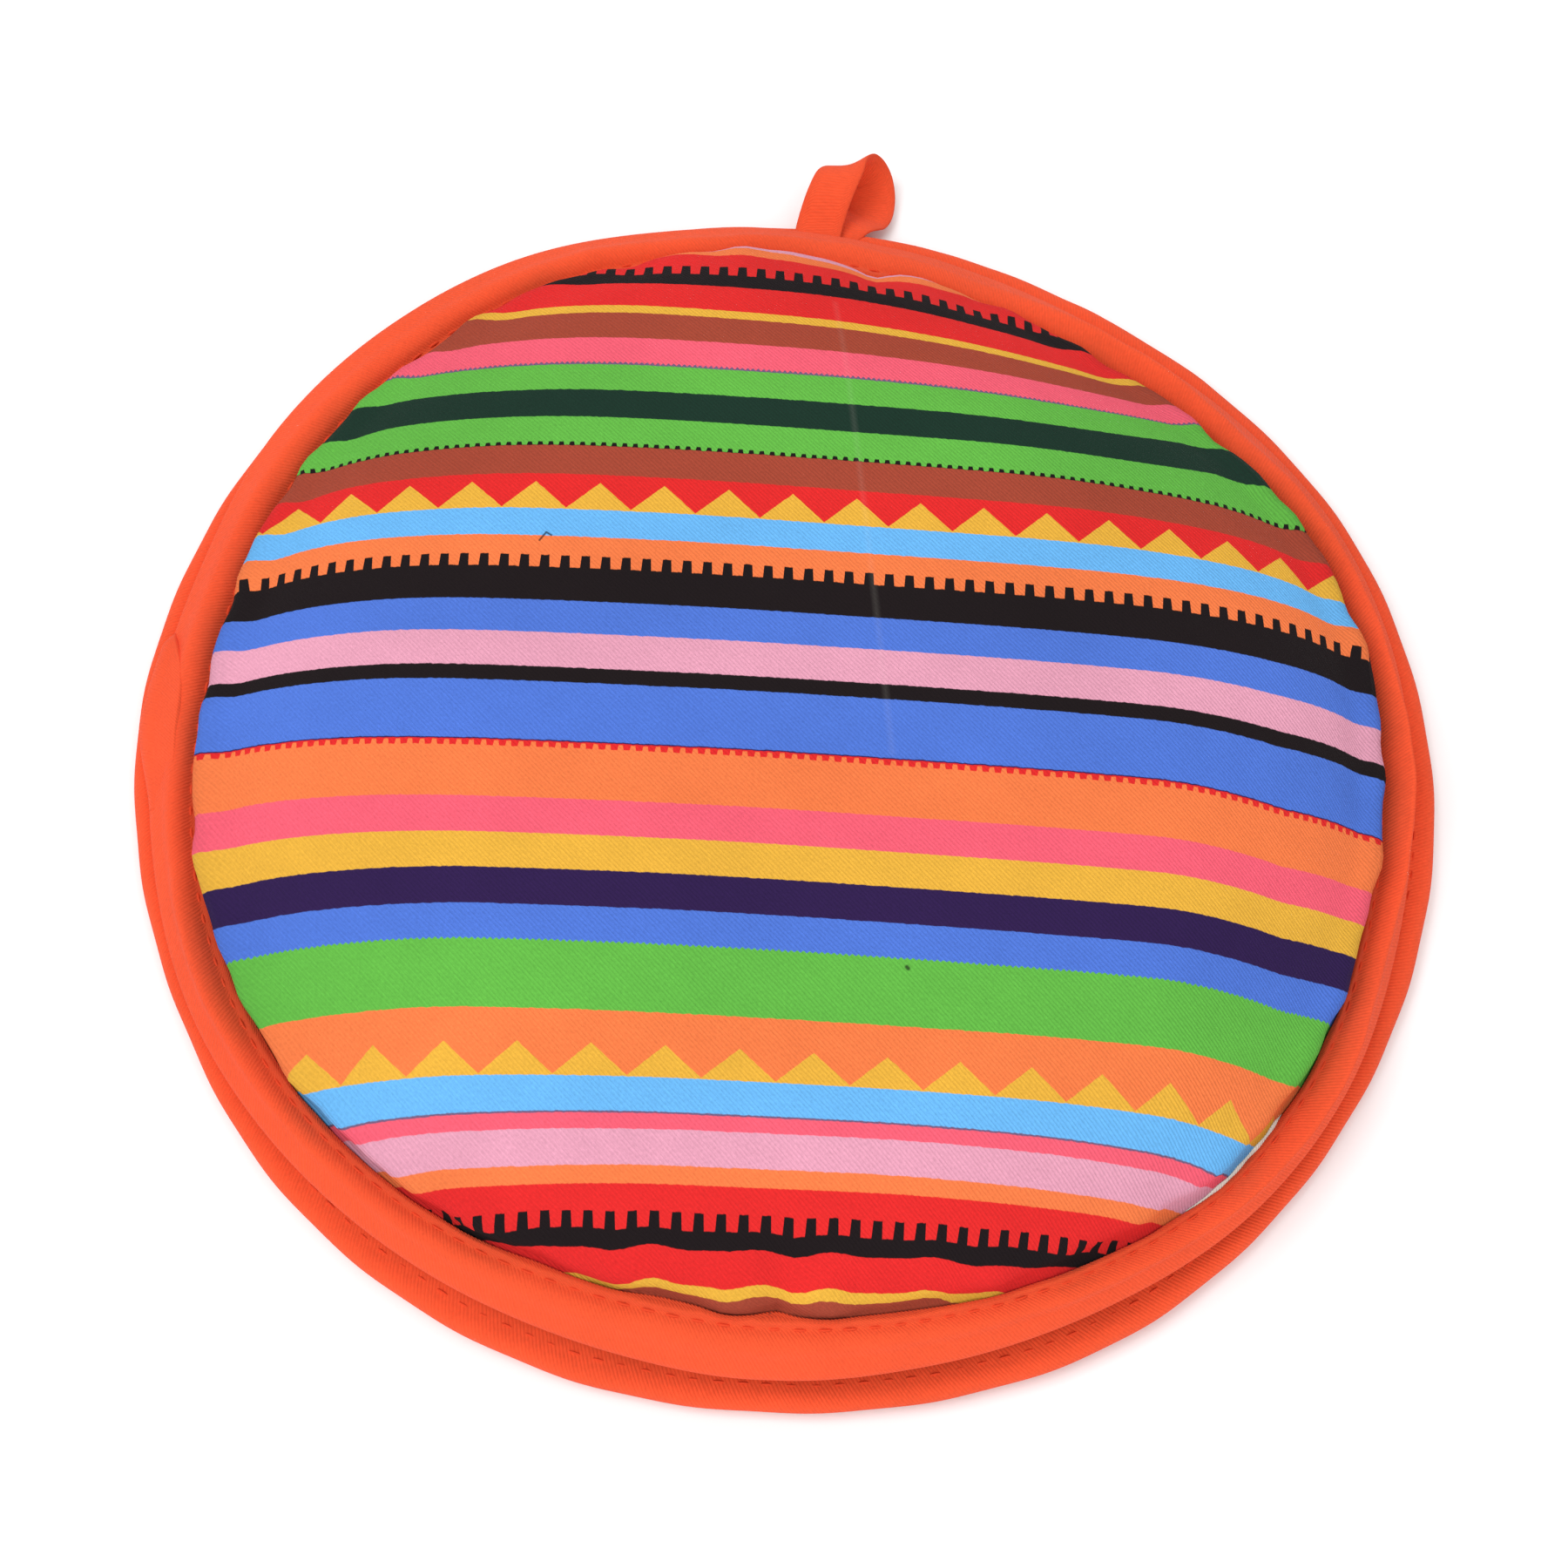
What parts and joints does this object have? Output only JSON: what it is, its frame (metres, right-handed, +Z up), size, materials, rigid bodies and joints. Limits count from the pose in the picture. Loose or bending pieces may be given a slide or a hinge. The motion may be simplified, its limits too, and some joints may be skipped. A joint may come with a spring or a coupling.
{
  "type": "tortilla warmer",
  "caption": "Round quilted cloth pouch that keeps flat breads warm, with a tape-bound rim, an open mouth on one side and a hanging loop.",
  "frame": {"origin": "middle of the flat underside that the pouch rests on", "axes": "+Z up, +Y towards the hanging loop, so the mouth opens towards -Y; +X to the right when seen from the mouth"},
  "size_m": [0.3048, 0.3259, 0.043],
  "materials": {
    "printed_cloth": "matt cotton twill with a striped print",
    "wadding": "soft felted fibre",
    "lining_cloth": "plain matt cotton",
    "binding_tape": "plain matt cotton, slightly smooth"
  },
  "bodies": {
    "pouch": {"back_cover": "printed_cloth", "back_wadding": "wadding", "back_lining": "lining_cloth", "back_binding": "binding_tape", "front_cover_rear": "printed_cloth", "front_wadding_rear": "wadding", "front_lining_rear": "lining_cloth", "front_binding_rear": "binding_tape", "loop_foot": "binding_tape"},
    "mouth_flap": {"front_cover_flap": "printed_cloth", "front_wadding_flap": "wadding", "front_lining_flap": "lining_cloth", "front_binding_flap": "binding_tape"},
    "loop": {"hanging_loop": "binding_tape"}
  },
  "joints": [
    {"name": "mouth_fold", "type": "hinge", "parent": "pouch", "child": "mouth_flap", "pos_m": [0, -0.0257, 0.043], "axis": [-1, 0, 0], "range_deg": [0, 30]},
    {"name": "loop_swing", "type": "hinge", "parent": "pouch", "child": "loop", "pos_m": [0, 0.153, 0.00745], "axis": [0.9659, -0.2588, 0], "range_deg": [-45, 75]}
  ]
}
